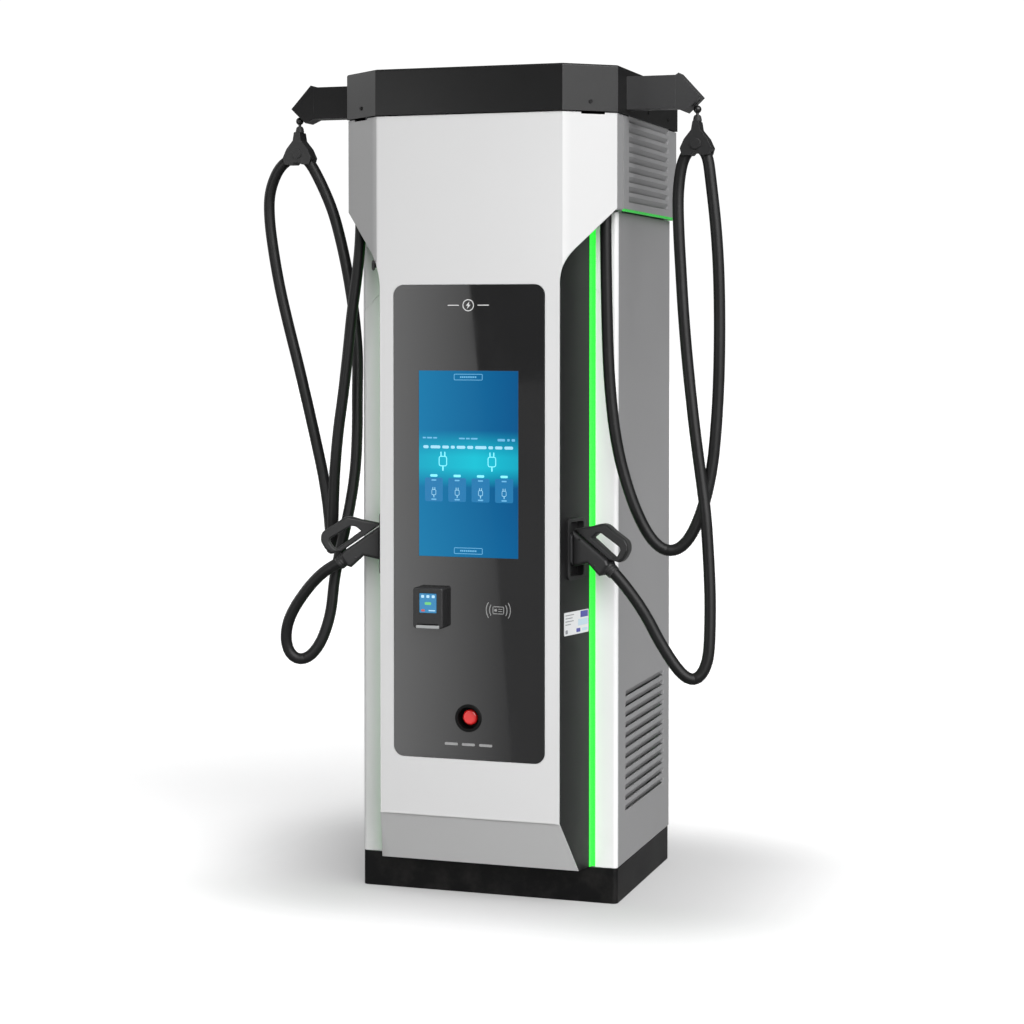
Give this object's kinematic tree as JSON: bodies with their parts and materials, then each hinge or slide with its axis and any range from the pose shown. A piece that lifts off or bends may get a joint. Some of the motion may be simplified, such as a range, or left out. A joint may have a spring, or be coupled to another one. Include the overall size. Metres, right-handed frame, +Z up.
{
  "type": "ev charging post",
  "caption": "Floor-standing DC fast-charging post: sheet-metal cabinet with a wider head, glass front with touch screen, holstered connectors and arm-hung cables.",
  "frame": {"origin": "centre of the plinth footprint on the floor, which is the centre of the anchor hole pattern", "axes": "+Z up, the glass front faces -Y, +X is to the right of a user who faces the front"},
  "size_m": [1.4337, 0.838, 2.401],
  "materials": {
    "black_steel": "fine satin powder coat",
    "zinc_steel": "zinc plated",
    "light_grey_paint": "smooth satin powder coat",
    "grey_paint": "smooth satin powder coat",
    "green_trim": "satin",
    "light_strip": "translucent, lit green",
    "black_plastic": "fine moulded texture",
    "insert_plastic": "smooth moulded",
    "soft_rubber": "matte",
    "cable_jacket": "satin jacket",
    "cord": "braided",
    "black_glass": "back-printed, glossy",
    "screen": "lit display",
    "red_plastic": "glossy",
    "module_metal": "mill finish"
  },
  "bodies": {
    "root": {"accent_trim": "green_trim", "arm_left": "black_steel", "arm_right": "black_steel", "arm_tip_left": "black_steel", "arm_tip_right": "black_steel", "base_plate": "zinc_steel", "bay_panel_left": "black_steel", "bay_panel_right": "black_steel", "cable_glands": "black_plastic", "cable_left": "cable_jacket", "cable_right": "cable_jacket", "cap_screws": "black_steel", "cap_shell": "black_steel", "column_left": "light_grey_paint", "column_right": "light_grey_paint", "cord_balancers": "module_metal", "cord_left": "cord", "cord_right": "cord", "fan_frame": "zinc_steel", "head_floor": "zinc_steel", "head_surround": "grey_paint", "holster_left": "black_plastic", "holster_right": "black_plastic", "light_strip_left": "light_strip", "light_strip_right": "light_strip", "main_switch": "black_plastic", "module_rack": "zinc_steel", "plinth_frame": "zinc_steel", "plinth_skirt": "black_steel", "power_modules": "module_metal", "rear_hinges": "zinc_steel", "side_panel_left": "grey_paint", "side_panel_right": "grey_paint", "welded_frame": "zinc_steel"},
    "front_cover": {"front_cover": "light_grey_paint", "glass_panel": "black_glass", "display_module": "screen", "payment_terminal": "black_plastic", "card_reader": "black_plastic", "estop_collar": "black_plastic"},
    "cover_lock": {"cover_lock": "black_steel"},
    "estop_plunger": {"estop_plunger": "black_plastic"},
    "estop_head": {"estop_head": "red_plastic"},
    "connector_right": {"connector_body_right": "black_plastic", "connector_handle_right": "black_plastic", "connector_insert_right": "insert_plastic", "connector_boot_right": "soft_rubber"},
    "connector_left": {"connector_body_left": "black_plastic", "connector_handle_left": "black_plastic", "connector_insert_left": "insert_plastic", "connector_boot_left": "soft_rubber"},
    "hanger_right": {"cable_hanger_right": "black_plastic", "cord_stop_right": "zinc_steel"},
    "hanger_left": {"cable_hanger_left": "black_plastic", "cord_stop_left": "zinc_steel"},
    "pulley_right": {"pulley_right": "black_plastic"},
    "pulley_left": {"pulley_left": "black_plastic"},
    "rear_door": {"rear_door": "grey_paint"},
    "rear_handle": {"rear_handle": "black_plastic"},
    "fan_rotor": {"fan_rotor": "black_plastic"}
  },
  "joints": [
    {"name": "front_cover_tilt", "type": "hinge", "parent": "root", "child": "front_cover", "pos_m": [0, -0.33, 0.126], "axis": [1, 0, 0], "range_deg": [0, 15]},
    {"name": "cover_lock_turn", "type": "hinge", "parent": "front_cover", "child": "cover_lock", "pos_m": [-0.2925, -0.465, 1.84], "axis": [-0.6319, -0.775, 0], "range_deg": [0, 90]},
    {"name": "estop_press", "type": "slide", "parent": "front_cover", "child": "estop_plunger", "axis": [0, 1, 0], "range_m": [0, 0.005]},
    {"name": "estop_twist", "type": "hinge", "parent": "estop_plunger", "child": "estop_head", "pos_m": [0, -0.45, 0.546], "axis": [0, -1, 0], "range_deg": [0, 45]},
    {"name": "connector_right_pull", "type": "slide", "parent": "root", "child": "connector_right", "axis": [0.9634, -0.2681, 0], "range_m": [0, 0.12], "deforming": ["cable_right"]},
    {"name": "connector_left_pull", "type": "slide", "parent": "root", "child": "connector_left", "axis": [-0.9634, -0.2681, 0], "range_m": [0, 0.12], "deforming": ["cable_left"]},
    {"name": "cord_pull_right", "type": "slide", "parent": "root", "child": "hanger_right", "axis": [0, 0, -1], "range_m": [0, 0.25], "deforming": ["cord_right", "cable_right"]},
    {"name": "cord_pull_left", "type": "slide", "parent": "root", "child": "hanger_left", "axis": [0, 0, -1], "range_m": [0, 0.25], "deforming": ["cord_left", "cable_left"]},
    {"name": "pulley_right_spin", "type": "hinge", "parent": "root", "child": "pulley_right", "pos_m": [0.598, -0.255, 2.316], "axis": [0, 1, 0], "range_deg": [0, 960]},
    {"name": "pulley_left_spin", "type": "hinge", "parent": "root", "child": "pulley_left", "pos_m": [-0.598, -0.255, 2.316], "axis": [0, -1, 0], "range_deg": [0, 960]},
    {"name": "rear_door_swing", "type": "hinge", "parent": "root", "child": "rear_door", "pos_m": [-0.38, 0.311, 1.05], "axis": [0, 0, 1], "range_deg": [0, 115]},
    {"name": "rear_handle_turn", "type": "hinge", "parent": "rear_door", "child": "rear_handle", "pos_m": [0.352, 0.31, 1.05], "axis": [0, 1, 0], "range_deg": [0, 90]},
    {"name": "fan_spin", "type": "hinge", "parent": "root", "child": "fan_rotor", "pos_m": [0, 0.21, 2.125], "axis": [0, 1, 0], "continuous": true}
  ],
  "couplings": [
    {"joint": "pulley_right_spin", "follows": "cord_pull_right", "rad_per_m": 65.79},
    {"joint": "pulley_left_spin", "follows": "cord_pull_left", "rad_per_m": 65.79}
  ]
}
